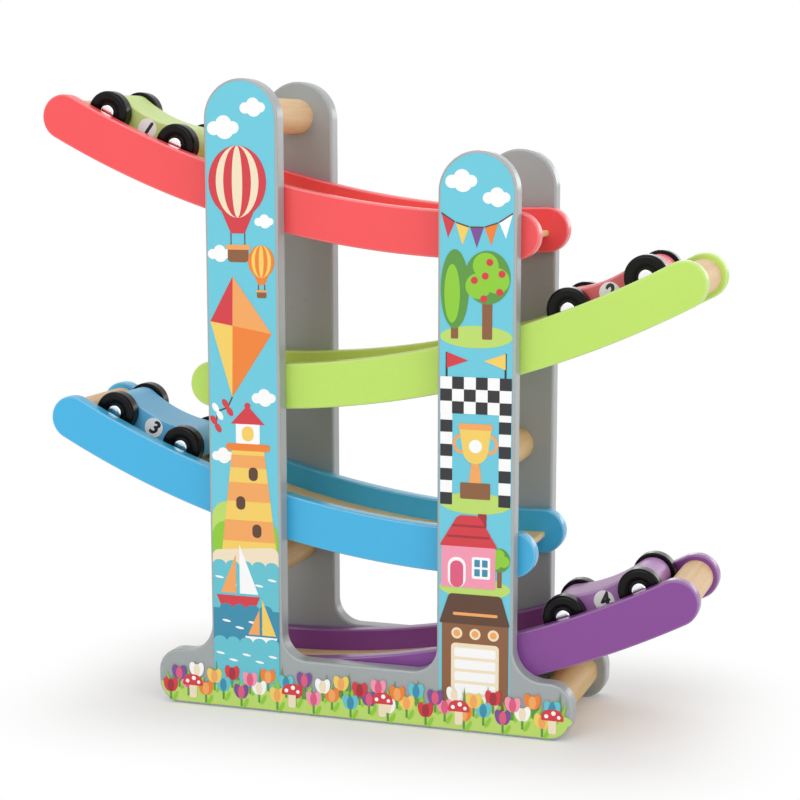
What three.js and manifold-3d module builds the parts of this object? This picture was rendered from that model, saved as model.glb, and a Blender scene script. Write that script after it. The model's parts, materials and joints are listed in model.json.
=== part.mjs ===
// Wooden zig-zag racing track. Two profiled panels stand side by side and carry four curved
// ramps between them. A small flip car with four wheels waits at the high end of each ramp.
// Millimetres. +X runs along the panels, +Y from the front panel to the back one, +Z is up.
// The origin is on the ground, under the middle of the ramps.
import * as THREE from "three";
import { mergeVertices } from "three/addons/utils/BufferGeometryUtils.js";
import Module from "manifold-3d";

const wasm = await Module();
wasm.setup();

// Panels: one outline for both, cut from board and rounded over along every edge
const PANEL_THICKNESS = 9;
const PANEL_GAP = 61.5;
const PANEL_EDGE_ROUND = 1.2;
const PANEL_SHIFT = 2.5; // the towers' middle lies this far right of the ramps' middle
const TOWER_WIDTH = 36;
const TOWER_GAP = 76;
const LEFT_TOWER_RISE = 54.5; // above the top ramp, at the middle of the tower
const RIGHT_TOWER_RISE = 37.6;
const BASE_HEIGHT = 26.5;
const BASE_FILLET = 12; // inner corners between the base bar and the towers
const FOOT_REACH = 28; // beyond the outer side of a tower
const FOOT_ROUND = 11;
const FOOT_FILLET = 14;

// Ramps: four alike, each an arc that is steep at the high end and level at the low end
const RAMP_RADIUS = 440; // to the top of the floor strip
const RAMP_HIGH_RUN = 208; // from the lowest point of the arc to the start dowel, level
const RAMP_LOW_RUN = 13.7; // from the lowest point to the round of the low end, level
const RAMP_LOW_OFFSET = 4; // lowest point beyond the middle of the tower there
const LOWEST_RAMP_HEIGHT = 13.45;
const FIRST_RAMP_STEP = 68.8; // from the lowest ramp to the one above it
const RAMP_STEP = 71.85; // between the ramps above
const WALL_HEIGHT = 21.2;
const WALL_THICKNESS = 7;
const WALL_EDGE_ROUND = 1;
const FLOOR_THICKNESS = 3;
const FLOOR_END_REACH = 1.2; // past the middle of the wall's round at the low end
const GROOVE_DEPTH = 2.5;
const START_DOWEL_DIAMETER = 16;
const START_SOCKET_DEPTH = 3;

// Cross dowels that tie the panels together, each with a spigot at both ends
const CROSS_DOWEL_DIAMETER = 16.8;
const SPIGOT_DIAMETER = 10;
const SPIGOT_LENGTH = 5;
const TOP_DOWEL_DROP = 16.7; // below the head of the left tower
const LEFT_DOWEL_DROP = 30.5; // below the third ramp, at the left tower
const RIGHT_DOWEL_RISE = 40.9; // above the third ramp, at the right tower
const FOOT_DOWEL_INSET = 12.6; // from the end of the right foot

// Cars: a waisted body on two axles
const WHEEL_DIAMETER = 20;
const WHEEL_WIDTH = 7;
const WHEEL_SHOULDER = 1.5;
const WHEEL_DISH_DEPTH = 0.6; // of the sloping ring between the rim and the hub
const WHEELBASE = 38;
const BODY_END_DIAMETER = 16.6;
const BODY_WAIST = 11.6;
const BODY_EDGE_ROUND = 1.2;
const AXLE_DIAMETER = 3;
const HUB_CAP_DIAMETER = 7.2;
const HUB_CAP_THICKNESS = 1.2;
const HUB_RECESS_DIAMETER = 9.4;
const HUB_RECESS_DEPTH = 1.2;

// Clearances
const GLUE_GAP = 0.3; // between a piece and the groove, socket or hole that holds it
const ROLLING_GAP = 0.3; // wheel to floor, and wheel to start dowel
const AXLE_PLAY = 0.3; // axle to its bore in the body, on the radius
const WHEEL_SEAT_GAP = 0.2; // axle to its bore in the wheel, on the radius
const WHEEL_SIDE_PLAY = 0.6; // wheel to the side of the body
const CAR_SIDE_PLAY = 2.75; // car to the wall of its ramp, on each side

// Facets of a full round, and of each long arc
const DOWEL_SIDES = 18;
const WHEEL_SIDES = 16;
const AXLE_SIDES = 8;
const ARC_STEPS = 12;
const HALF_ROUND_STEPS = 8;
const FILLET_STEPS = 4;

// Sizes that follow from the ones above
const towerMiddle = (TOWER_GAP + TOWER_WIDTH) / 2;
const lowPointX = towerMiddle + RAMP_LOW_OFFSET;
const highAngle = Math.asin(RAMP_HIGH_RUN / RAMP_RADIUS);
const lowAngle = -Math.asin(RAMP_LOW_RUN / RAMP_RADIUS);
const floorEndAngle = lowAngle - FLOOR_END_REACH / RAMP_RADIUS;
const panelMiddleY = (PANEL_GAP + PANEL_THICKNESS) / 2;
const channelWidth = PANEL_GAP - 2 * WALL_THICKNESS;
const wallMiddleY = (channelWidth + WALL_THICKNESS) / 2;

const wheelRadius = WHEEL_DIAMETER / 2;
const startDowelRadius = START_DOWEL_DIAMETER / 2;
const axleRadius = RAMP_RADIUS - wheelRadius - ROLLING_GAP; // from the centre of the ramp's arc
const halfBaseAngle = Math.asin(WHEELBASE / 2 / axleRadius);
const carHalfWidth = channelWidth / 2 - CAR_SIDE_PLAY;
const bodyWidth = 2 * (carHalfWidth - WHEEL_WIDTH - WHEEL_SIDE_PLAY);

const RED = { side: 1, height: LOWEST_RAMP_HEIGHT + FIRST_RAMP_STEP + 2 * RAMP_STEP };
const GREEN = { side: -1, height: LOWEST_RAMP_HEIGHT + FIRST_RAMP_STEP + RAMP_STEP };
const BLUE = { side: 1, height: LOWEST_RAMP_HEIGHT + FIRST_RAMP_STEP };
const PURPLE = { side: -1, height: LOWEST_RAMP_HEIGHT };

// A ramp's side is +1 where its low end is on the right, -1 where it is on the left
function rampHeightAt(ramp, x) {
  const run = x - ramp.side * lowPointX;
  return ramp.height + RAMP_RADIUS - Math.sqrt(RAMP_RADIUS ** 2 - run ** 2);
}

const leftTowerX = PANEL_SHIFT - towerMiddle;
const rightTowerX = PANEL_SHIFT + towerMiddle;
const leftTowerHeight = rampHeightAt(RED, leftTowerX) + LEFT_TOWER_RISE;
const rightTowerHeight = rampHeightAt(RED, rightTowerX) + RIGHT_TOWER_RISE;

const CROSS_DOWELS = {
  top_cross_dowel: [leftTowerX, leftTowerHeight - TOP_DOWEL_DROP],
  left_cross_dowel: [leftTowerX, rampHeightAt(BLUE, leftTowerX) - LEFT_DOWEL_DROP],
  right_cross_dowel: [rightTowerX, rampHeightAt(BLUE, rightTowerX) + RIGHT_DOWEL_RISE],
  foot_cross_dowel: [rightTowerX + TOWER_WIDTH / 2 + FOOT_REACH - FOOT_DOWEL_INSET, BASE_HEIGHT / 2],
};

// Finishes
function finish(color, roughness, metalness = 0) {
  return new THREE.MeshStandardMaterial({ color, roughness, metalness });
}
const GREY_PAINT = finish(0x9fa7a9, 0.5);
const SKY_PRINT = finish(0x70d0e2, 0.5);
const NATURAL_WOOD = finish(0xd9b88c, 0.6);
const BLACK_TYRE = finish(0x161417, 0.2);
const WHITE_CAP = finish(0xf2f2f0, 0.25);

// Helpers

// Points on an arc, in the plane of a profile, from one angle to another
function arc(centreX, centreY, radius, from, to, steps) {
  const points = [];
  for (let i = 0; i <= steps; i += 1) {
    const angle = from + ((to - from) * i) / steps;
    points.push(
      new THREE.Vector2(centreX + radius * Math.cos(angle), centreY + radius * Math.sin(angle)),
    );
  }
  return points;
}

// A board cut to an outline in X and Z, centred on Y, with its edges rounded over
function board(outline, thickness, edgeRound = 0, edgeSteps = 1) {
  const geometry = new THREE.ExtrudeGeometry(new THREE.Shape(outline), {
    depth: thickness - 2 * edgeRound,
    bevelEnabled: edgeRound > 0,
    bevelThickness: edgeRound,
    bevelSize: edgeRound,
    bevelOffset: -edgeRound,
    bevelSegments: edgeSteps,
  });
  geometry.translate(0, 0, edgeRound - thickness / 2);
  geometry.rotateX(Math.PI / 2);
  return geometry;
}

// A piece turned about Y from pairs of radius and Y
function turned(profile, sides) {
  return new THREE.LatheGeometry(
    profile.map(([radius, y]) => new THREE.Vector2(radius, y)),
    sides,
  );
}

// A round cutter along Y, centred at x, y, z
function drill(diameter, length, x, y, z, sides = DOWEL_SIDES) {
  const geometry = new THREE.CylinderGeometry(diameter / 2, diameter / 2, length, sides);
  geometry.translate(x, y, z);
  return geometry;
}

function solidOf(geometry) {
  const bare = geometry.clone();
  bare.deleteAttribute("normal");
  bare.deleteAttribute("uv");
  const merged = mergeVertices(bare);
  return new wasm.Manifold(
    new wasm.Mesh({
      numProp: 3,
      vertProperties: new Float32Array(merged.attributes.position.array),
      triVerts: new Uint32Array(merged.index.array),
    }),
  );
}

function cut(geometry, cutters) {
  let solid = solidOf(geometry);
  for (const cutter of cutters) {
    solid = solid.subtract(solidOf(cutter));
  }
  const mesh = solid.getMesh();
  const result = new THREE.BufferGeometry();
  result.setAttribute("position", new THREE.BufferAttribute(mesh.vertProperties, 3));
  result.setIndex(new THREE.BufferAttribute(mesh.triVerts, 1));
  result.computeVertexNormals();
  return result;
}

function piece(name, geometry, material, parent) {
  const mesh = new THREE.Mesh(geometry, material);
  mesh.name = name;
  parent.add(mesh);
  return mesh;
}

// Panel outline, from the left foot round by the right foot and over the towers
function panelOutline() {
  const outerRight = towerMiddle + TOWER_WIDTH / 2;
  const innerRight = TOWER_GAP / 2;
  const footEnd = outerRight + FOOT_REACH;
  const filletX = outerRight + FOOT_FILLET;
  const headRadius = TOWER_WIDTH / 2;
  const quarter = Math.PI / 2;
  const side = (towerHeight) => [
    ...arc(footEnd - FOOT_ROUND, FOOT_ROUND, FOOT_ROUND, -quarter, 0, FILLET_STEPS),
    ...arc(footEnd - FOOT_ROUND, BASE_HEIGHT - FOOT_ROUND, FOOT_ROUND, 0, quarter, FILLET_STEPS),
    ...arc(filletX, BASE_HEIGHT + FOOT_FILLET, FOOT_FILLET, -quarter, -2 * quarter, FILLET_STEPS),
    ...arc(towerMiddle, towerHeight - headRadius, headRadius, 0, 2 * quarter, 2 * HALF_ROUND_STEPS),
    ...arc(innerRight - BASE_FILLET, BASE_HEIGHT + BASE_FILLET, BASE_FILLET, 0, -quarter, FILLET_STEPS),
  ];
  const right = side(rightTowerHeight);
  const left = side(leftTowerHeight).map((point) => new THREE.Vector2(-point.x, point.y));
  const shift = new THREE.Vector2(PANEL_SHIFT, 0);
  return [...right, ...left.reverse()].map((point) => point.add(shift));
}

// A panel, with blind holes for the dowels' spigots in its inner face.
// inward is the Y direction that the inner face looks.
function panel(inward) {
  const holeDepth = SPIGOT_LENGTH + GLUE_GAP;
  const holes = Object.values(CROSS_DOWELS).map(([x, z]) =>
    drill(SPIGOT_DIAMETER + 2 * GLUE_GAP, 2 * holeDepth, x, (inward * PANEL_THICKNESS) / 2, z),
  );
  return cut(board(panelOutline(), PANEL_THICKNESS, PANEL_EDGE_ROUND), holes);
}

// A dowel with a spigot at each end. Its shoulders meet the panels' inner faces.
function crossDowel() {
  const bodyRadius = CROSS_DOWEL_DIAMETER / 2;
  const spigotRadius = SPIGOT_DIAMETER / 2;
  const shoulder = PANEL_GAP / 2;
  const end = shoulder + SPIGOT_LENGTH;
  const profile = [
    [0, -end],
    [spigotRadius, -end],
    [spigotRadius, -shoulder],
    [bodyRadius, -shoulder],
    [bodyRadius, shoulder],
    [spigotRadius, shoulder],
    [spigotRadius, end],
    [0, end],
  ];
  return turned(profile, DOWEL_SIDES);
}

// A point on a ramp: radius from the centre of its arc, angle from the lowest point, uphill
function onRamp(side, radius, angle) {
  return new THREE.Vector2(-side * radius * Math.sin(angle), RAMP_RADIUS - radius * Math.cos(angle));
}

function rampArc(side, radius, from, to) {
  const points = [];
  for (let i = 0; i <= ARC_STEPS; i += 1) {
    points.push(onRamp(side, radius, from + ((to - from) * i) / ARC_STEPS));
  }
  return points;
}

// A band along the ramp with square ends, between two radii
function bandOutline(side, topRadius, bottomRadius, from, to) {
  return [...rampArc(side, bottomRadius, from, to), ...rampArc(side, topRadius, to, from)];
}

// The half-round end of a wall, from its bottom edge to its top edge (or back, uphill)
function wallEnd(side, angle, uphill) {
  const centre = onRamp(side, RAMP_RADIUS, angle);
  const down = onRamp(side, RAMP_RADIUS + WALL_HEIGHT / 2, angle).sub(centre);
  const along = new THREE.Vector2(-side * Math.cos(angle), Math.sin(angle)).multiplyScalar(WALL_HEIGHT / 2);
  const turn = uphill ? -1 : 1;
  const points = [];
  for (let i = 1; i < HALF_ROUND_STEPS; i += 1) {
    const angleRound = (Math.PI * i) / HALF_ROUND_STEPS;
    const step = down.clone().multiplyScalar(turn * Math.cos(angleRound));
    step.addScaledVector(along, -turn * Math.sin(angleRound));
    points.push(centre.clone().add(step));
  }
  return points;
}

// A ramp wall with the groove for the floor and the socket for the start dowel.
// inward is the Y direction that its inner face looks.
function rampWall(side, inward) {
  const bottom = RAMP_RADIUS + WALL_HEIGHT / 2;
  const top = RAMP_RADIUS - WALL_HEIGHT / 2;
  const outline = [
    ...rampArc(side, bottom, highAngle, lowAngle),
    ...wallEnd(side, lowAngle, false),
    ...rampArc(side, top, lowAngle, highAngle),
    ...wallEnd(side, highAngle, true),
  ];
  const innerFace = (inward * WALL_THICKNESS) / 2;
  const grooveTop = RAMP_RADIUS - GLUE_GAP;
  const grooveBottom = RAMP_RADIUS + FLOOR_THICKNESS + GLUE_GAP;
  const grooveEnd = floorEndAngle - GLUE_GAP / RAMP_RADIUS;
  const grooveOutline = bandOutline(side, grooveTop, grooveBottom, highAngle, grooveEnd);
  const groove = board(grooveOutline, 2 * GROOVE_DEPTH);
  groove.translate(0, innerFace, 0);
  const start = onRamp(side, RAMP_RADIUS, highAngle);
  const socketDiameter = START_DOWEL_DIAMETER + 2 * GLUE_GAP;
  const socket = drill(socketDiameter, 2 * START_SOCKET_DEPTH, start.x, innerFace, start.y);
  return cut(board(outline, WALL_THICKNESS, WALL_EDGE_ROUND), [groove, socket]);
}

// The thin floor strip, bent along the ramp and set in both walls' grooves
function rampFloor(side) {
  const startAngle = highAngle - (startDowelRadius + GLUE_GAP) / RAMP_RADIUS;
  const width = channelWidth + 2 * (GROOVE_DEPTH - GLUE_GAP);
  const bottom = RAMP_RADIUS + FLOOR_THICKNESS;
  return board(bandOutline(side, RAMP_RADIUS, bottom, startAngle, floorEndAngle), width);
}

// The start dowel, let into both walls at the high end
function startDowel() {
  const length = channelWidth + 2 * (START_SOCKET_DEPTH - GLUE_GAP);
  return new THREE.CylinderGeometry(startDowelRadius, startDowelRadius, length, DOWEL_SIDES);
}

function addRamp(name, ramp, paint) {
  const group = new THREE.Group();
  group.position.set(ramp.side * lowPointX, 0, ramp.height);
  piece(`${name}_ramp_front_wall`, rampWall(ramp.side, 1), paint, group).position.y = -wallMiddleY;
  piece(`${name}_ramp_back_wall`, rampWall(ramp.side, -1), paint, group).position.y = wallMiddleY;
  piece(`${name}_ramp_floor`, rampFloor(ramp.side), NATURAL_WOOD, group);
  const start = onRamp(ramp.side, RAMP_RADIUS, highAngle);
  piece(`${name}_ramp_start_dowel`, startDowel(), NATURAL_WOOD, group).position.set(start.x, 0, start.y);
  return group;
}

// Side view of a car body: two round ends about the axles, joined by hollow flanks
function bodyOutline() {
  const halfBase = WHEELBASE / 2;
  const end = BODY_END_DIAMETER / 2;
  const waist = BODY_WAIST / 2;
  const flank = (halfBase ** 2 + waist ** 2 - end ** 2) / (2 * (end - waist));
  const flankHeight = flank + waist;
  const reach = Math.atan2(flankHeight, -halfBase);
  const sweep = Math.PI - reach;
  const quarter = Math.PI / 2;
  const trim = (points) => points.slice(1, -1);
  return [
    ...arc(halfBase, 0, end, -reach, reach, HALF_ROUND_STEPS),
    ...trim(arc(0, flankHeight, flank, -sweep, sweep - 2 * quarter, FILLET_STEPS)),
    ...arc(-halfBase, 0, end, 2 * quarter - reach, 2 * quarter + reach, HALF_ROUND_STEPS),
    ...trim(arc(0, -flankHeight, flank, 2 * quarter - sweep, sweep, FILLET_STEPS)),
  ];
}

function carBody() {
  const bore = AXLE_DIAMETER + 2 * AXLE_PLAY;
  const bores = [-1, 1].map((end) => drill(bore, 2 * bodyWidth, (end * WHEELBASE) / 2, 0, 0, AXLE_SIDES));
  return cut(board(bodyOutline(), bodyWidth, BODY_EDGE_ROUND), bores);
}

// An axle with a hub cap at each end. The caps sit in the recesses of the wheels.
function axle() {
  const rod = AXLE_DIAMETER / 2;
  const cap = HUB_CAP_DIAMETER / 2;
  const seat = carHalfWidth - HUB_RECESS_DEPTH + WHEEL_SEAT_GAP;
  const face = seat + HUB_CAP_THICKNESS;
  const rim = seat + HUB_CAP_THICKNESS / 2;
  const domeRadius = (cap + rod) / 2;
  const profile = [
    [0, -face],
    [domeRadius, -face],
    [cap, -rim],
    [cap, -seat],
    [rod, -seat],
    [rod, seat],
    [cap, seat],
    [cap, rim],
    [domeRadius, face],
    [0, face],
  ];
  return turned(profile, AXLE_SIDES);
}

// A wheel on the side of the body that outward gives, dished towards a recess for the hub cap
function wheel(outward) {
  const bore = AXLE_DIAMETER / 2 + WHEEL_SEAT_GAP;
  const recess = HUB_RECESS_DIAMETER / 2;
  const outer = carHalfWidth;
  const inner = carHalfWidth - WHEEL_WIDTH;
  const rim = wheelRadius - WHEEL_SHOULDER;
  const profile = [
    [bore, inner],
    [wheelRadius, inner],
    [wheelRadius, outer - WHEEL_SHOULDER],
    [rim, outer],
    [(rim + recess) / 2, outer],
    [recess, outer - WHEEL_DISH_DEPTH],
    [recess, outer - HUB_RECESS_DEPTH],
    [bore, outer - HUB_RECESS_DEPTH],
    [bore, inner],
  ];
  const geometry = turned(profile, WHEEL_SIDES);
  if (outward < 0) {
    geometry.rotateX(Math.PI);
  }
  return geometry;
}

// How far up the ramp a car stands, with its tail wheels just clear of the start dowel
function startAngleOfCar() {
  const reach = startDowelRadius + wheelRadius + ROLLING_GAP;
  const cosine = (axleRadius ** 2 + RAMP_RADIUS ** 2 - reach ** 2) / (2 * axleRadius * RAMP_RADIUS);
  return highAngle - Math.acos(cosine) - halfBaseAngle;
}

// A car stands in a group that turns about the centre of its ramp's arc
function addCar(name, side, paint, rampGroup) {
  const swing = new THREE.Group();
  swing.position.z = RAMP_RADIUS;
  swing.rotation.y = side * startAngleOfCar();
  rampGroup.add(swing);
  const height = -axleRadius * Math.cos(halfBaseAngle);
  piece(`${name}_body`, carBody(), paint, swing).position.z = height;
  const ends = { lead: side, tail: -side };
  for (const [end, direction] of Object.entries(ends)) {
    const x = (direction * WHEELBASE) / 2;
    const place = new THREE.Vector3(x, 0, height);
    piece(`${name}_${end}_axle`, axle(), WHITE_CAP, swing).position.copy(place);
    piece(`${name}_${end}_front_wheel`, wheel(-1), BLACK_TYRE, swing).position.copy(place);
    piece(`${name}_${end}_back_wheel`, wheel(1), BLACK_TYRE, swing).position.copy(place);
  }
}

// The assembly
const track = new THREE.Group();

piece("front_panel", panel(1), SKY_PRINT, track).position.y = -panelMiddleY;
piece("back_panel", panel(-1), GREY_PAINT, track).position.y = panelMiddleY;

for (const [name, [x, z]] of Object.entries(CROSS_DOWELS)) {
  piece(name, crossDowel(), NATURAL_WOOD, track).position.set(x, 0, z);
}

const LANES = [
  { colour: "red", ramp: RED, paint: 0xfa6266, car: "car_1", carPaint: 0xcfe38c },
  { colour: "green", ramp: GREEN, paint: 0xc2e474, car: "car_2", carPaint: 0xee7077 },
  { colour: "blue", ramp: BLUE, paint: 0x52b4e4, car: "car_3", carPaint: 0x7fc3e6 },
  { colour: "purple", ramp: PURPLE, paint: 0x8c5299, car: "car_4", carPaint: 0xb287c0 },
];
for (const { colour, ramp, paint, car, carPaint } of LANES) {
  const rampGroup = addRamp(colour, ramp, finish(paint, 0.4));
  addCar(car, ramp.side, finish(carPaint, 0.4), rampGroup);
  track.add(rampGroup);
}

export default track;
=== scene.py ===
import json
import math

import bmesh
import bpy
from mathutils import Matrix, Vector


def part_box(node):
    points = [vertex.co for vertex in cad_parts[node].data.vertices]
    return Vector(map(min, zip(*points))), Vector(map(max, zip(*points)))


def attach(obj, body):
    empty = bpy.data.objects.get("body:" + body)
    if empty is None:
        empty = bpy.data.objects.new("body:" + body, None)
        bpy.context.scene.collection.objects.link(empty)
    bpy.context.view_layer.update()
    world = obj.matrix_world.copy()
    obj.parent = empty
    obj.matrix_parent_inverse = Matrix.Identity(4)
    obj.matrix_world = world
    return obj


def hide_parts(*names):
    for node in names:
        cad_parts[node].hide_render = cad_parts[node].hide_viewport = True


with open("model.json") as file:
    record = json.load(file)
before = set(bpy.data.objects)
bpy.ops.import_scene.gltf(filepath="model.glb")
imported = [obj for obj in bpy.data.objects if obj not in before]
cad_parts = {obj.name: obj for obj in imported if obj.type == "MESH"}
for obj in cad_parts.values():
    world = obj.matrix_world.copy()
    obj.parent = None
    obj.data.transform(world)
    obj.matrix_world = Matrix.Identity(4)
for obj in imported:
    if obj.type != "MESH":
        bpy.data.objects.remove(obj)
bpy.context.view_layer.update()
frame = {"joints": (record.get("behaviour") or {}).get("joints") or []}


# The two panels: boards of one outline, a tall tower and a shorter one on a footed base bar.
# Each is sawn from nine-millimetre board, rounded over along every edge and sprayed satin grey.
# The ramps and cross dowels are glued between them.

MM = 0.001
hair = 0.001 * MM

panel_low, panel_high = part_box("front_panel")
panel_middle = (panel_low.x + panel_high.x) / 2
foot_end = (panel_high.x - panel_low.x) / 2
tower_inner = 38 * MM
tower_outer = 74 * MM
tower_head = (tower_outer - tower_inner) / 2 - 0.01 * MM
left_tower_top = panel_high.z
right_tower_top = 263.553 * MM
base_top = 26.5 * MM
base_fillet = 12 * MM
foot_round = 11 * MM
foot_fillet = 14 * MM
panel_edge = 1.2 * MM
sharp_angle = math.radians(32)


def screen_colour(code):
    """A screen colour such as 9fa7a9 as the linear values that shaders take."""
    parts = [int(code[i : i + 2], 16) / 255 for i in (0, 2, 4)]
    linear = [((part + 0.055) / 1.055) ** 2.4 if part > 0.04045 else part / 12.92 for part in parts]
    return (*linear, 1)


class Socket:
    """One output in a material's node tree. Arithmetic on it adds Math nodes."""

    def __init__(self, tree, output=None):
        self.tree = tree
        self.output = output

    def node(self, kind, settings=None, inputs=None, output=0):
        """Adds a node with its settings, and with values or links on its inputs."""
        made = self.tree.nodes.new(kind)
        for name, value in (settings or {}).items():
            if name == "stops":
                stops = made.color_ramp.elements
                while len(stops) < len(value):
                    stops.new(1)
                for stop, (place, shade) in zip(stops, value):
                    stop.position = place
                    stop.color = shade
            else:
                setattr(made, name, value)
        for name, value in (inputs or {}).items():
            if isinstance(value, Socket):
                self.tree.links.new(value.output, made.inputs[name])
            else:
                made.inputs[name].default_value = value
        return Socket(self.tree, made.outputs[output] if made.outputs else None)

    def math(self, operation, first, second):
        return self.node("ShaderNodeMath", {"operation": operation}, {0: first, 1: second})

    def mix(self, factor, first, second):
        colours = {0: factor, 6: first, 7: second}
        return self.node("ShaderNodeMix", {"data_type": "RGBA"}, colours, output=2)

    def __add__(self, other):
        return self.math("ADD", self, other)

    def __sub__(self, other):
        return self.math("SUBTRACT", self, other)

    def __mul__(self, other):
        return self.math("MULTIPLY", self, other)


def new_material(name):
    """An empty material, and a socket that adds nodes to it."""
    material = bpy.data.materials.new(name)
    material.use_nodes = True
    material.node_tree.nodes.clear()
    return material, Socket(material.node_tree)


def tinted(colour, amount):
    """The same colour, lighter or darker by a factor."""
    return (*[min(1, part * amount) for part in colour[:3]], 1)


def sprayed_paint(name, code, roughness, coat, rim_highlight):
    """Paint sprayed on filled board: slightly cloudy, with a painted highlight along the rounded rims,
    where the tone is mixed paler.
    """
    material, paint = new_material(name)
    colour = screen_colour(code)
    highlight_colour = (*[part * 0.45 + 0.55 for part in colour[:3]], 1)
    place = paint.node("ShaderNodeTexCoord", output="Object")
    cloud = paint.node("ShaderNodeTexNoise", inputs={"Vector": place, "Scale": 26, "Detail": 4})
    speck = paint.node("ShaderNodeTexNoise", inputs={"Vector": place, "Scale": 420, "Detail": 3})
    peel = paint.node("ShaderNodeTexNoise", inputs={"Vector": place, "Scale": 900, "Detail": 2})
    rim = paint.node("ShaderNodeAttribute", {"attribute_name": "Rim"}, output="Fac")
    body = paint.mix(cloud * 0.7 + speck * 0.3, tinted(colour, 0.93), tinted(colour, 1.05))
    # The rounded rims are mixed towards a paler tone: a painted highlight.
    tone = paint.mix(rim * (cloud + 0.5) * rim_highlight, body, highlight_colour)
    skin = paint.node("ShaderNodeBump", inputs={"Strength": 0.25, "Distance": 0.00005, "Height": peel})
    surface = paint.node(
        "ShaderNodeBsdfPrincipled",
        inputs={
            "Base Color": tone,
            "Roughness": cloud * 0.12 - rim * 0.1 + (roughness - 0.06),
            "Specular IOR Level": 0.4,
            "Coat Weight": coat,
            "Coat Roughness": 0.12,
            "Normal": skin,
        },
    )
    paint.node("ShaderNodeOutputMaterial", inputs={"Surface": surface})
    return material


def round_off(shape, parts, radius, steps, affect="EDGES"):
    """Rounds some of the edges or corners of a shape."""
    return bmesh.ops.bevel(
        shape, geom=parts, offset=radius, offset_type="OFFSET", segments=steps,
        profile=0.5, affect=affect, material=-1, clamp_overlap=False,
    )


def round_rims(board, radius, steps):
    """Rounds over the edges of a board's two flat faces, and marks the rounding as its rim."""
    mark = board.verts.layers.float.new("Rim")
    rims = [edge for edge in board.edges if abs(edge.verts[0].co.y - edge.verts[1].co.y) < hair]
    rounded = round_off(board, rims, radius, steps)
    rounding = set(rounded["faces"])
    for vert in rounded["verts"]:
        vert[mark] = all(face in rounding for face in vert.link_faces)
    bmesh.ops.recalc_face_normals(board, faces=board.faces)


def thicken(board, face, thickness):
    """Gives a flat face in the XZ plane its thickness along Y."""
    grown = bmesh.ops.extrude_face_region(board, geom=[face])["geom"]
    moved = [item for item in grown if isinstance(item, bmesh.types.BMVert)]
    bmesh.ops.translate(board, vec=(0, thickness, 0), verts=moved)


def panel_board(y_front, thickness):
    """A board of the panels' outline, with its corners rounded and its edges rounded over."""
    corners = [
        (-foot_end, 0, foot_round),
        (foot_end, 0, foot_round),
        (foot_end, base_top, foot_round),
        (tower_outer, base_top, foot_fillet),
        (tower_outer, right_tower_top, tower_head),
        (tower_inner, right_tower_top, tower_head),
        (tower_inner, base_top, base_fillet),
        (-tower_inner, base_top, base_fillet),
        (-tower_inner, left_tower_top, tower_head),
        (-tower_outer, left_tower_top, tower_head),
        (-tower_outer, base_top, foot_fillet),
        (-foot_end, base_top, foot_round),
    ]
    board = bmesh.new()
    outline = [board.verts.new((panel_middle + x, y_front, z)) for x, z, _ in corners]
    thicken(board, board.faces.new(outline), thickness)
    for radius in (foot_round, foot_fillet, base_fillet, tower_head):
        places = [Vector((panel_middle + x, 0, z)) for x, z, given in corners if given == radius]
        uprights = []
        for edge in board.edges:
            first, second = [Vector((vert.co.x, 0, vert.co.z)) for vert in edge.verts]
            upright = (first - second).length < hair
            if upright and any((first - place).length < hair for place in places):
                uprights.append(edge)
        round_off(board, uprights, radius, 14)
    bmesh.ops.remove_doubles(board, verts=board.verts, dist=0.05 * MM)
    round_rims(board, panel_edge, 4)
    return board


def add_piece(name, shape, material, body, slot, *nodes, smooth=True):
    """Makes a mesh object of a finished shape, its flats shaded flat, and ties it to the frame."""
    mesh = bpy.data.meshes.new(name)
    shape.to_mesh(mesh)
    shape.free()
    if smooth:
        mesh.shade_smooth()
        mesh.set_sharp_from_angle(angle=sharp_angle)
    mesh.materials.append(material)
    piece = bpy.data.objects.new(name, mesh)
    if smooth:
        flats = piece.modifiers.new("Flats", "WEIGHTED_NORMAL")
        flats.keep_sharp = True
    bpy.context.scene.collection.objects.link(piece)
    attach(piece, body)
    if nodes:
        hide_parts(*nodes)
    return piece


# The last figure of each sprayed paint is the strength of its painted rim highlight.
panel_grey = sprayed_paint("panel_grey_paint", "a3a9aa", 0.3, 0.2, 0.12)
for node, slot in (("front_panel", "front_panel_print"), ("back_panel", "panel_grey")):
    low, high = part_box(node)
    add_piece(f"{node}_board", panel_board(low.y, high.y - low.y), panel_grey, "frame", slot, node)


# The picture on the front panel: flat inks printed on a sky ground, one thin film over another.
# A generic seaside and race-day scene runs up the towers, and a flower meadow along the base.
# The films stop short of the rounded edge, so that a grey rim stays all round.

print_face = panel_low.y
film = 0.02 * MM
print_margin = 1.25 * MM
sky_foot = 9

SKY = screen_colour("6acde2")
WHITE = screen_colour("ffffff")
CREAM = screen_colour("f6e6c6")
RED = screen_colour("d92f3c")
DARK_RED = screen_colour("a81f30")
ORANGE = screen_colour("f58220")
YELLOW = screen_colour("f9d35f")
AMBER = screen_colour("f8a95a")
TEAL = screen_colour("62c6d6")
DEEP_TEAL = screen_colour("2f8fb0")
LEAF = screen_colour("8fd02b")
DARK_LEAF = screen_colour("5a9a3c")
GRASS = screen_colour("bfe06a")
PINK = screen_colour("f899b4")
DARK_PINK = screen_colour("e3577f")
PURPLE = screen_colour("7c4a97")
BROWN = screen_colour("8d5b35")
DARK_BROWN = screen_colour("5c3a26")
BLACK = screen_colour("28262a")

picture = bmesh.new()
ink = picture.loops.layers.float_color.new("Ink")


def dye(faces, layer, colour):
    """Colours flat films and turns them to the front."""
    for face in faces:
        face.normal_update()
        if face.normal.y > 0:
            face.normal_flip()
        for loop in face.loops:
            loop[layer] = colour


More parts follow.
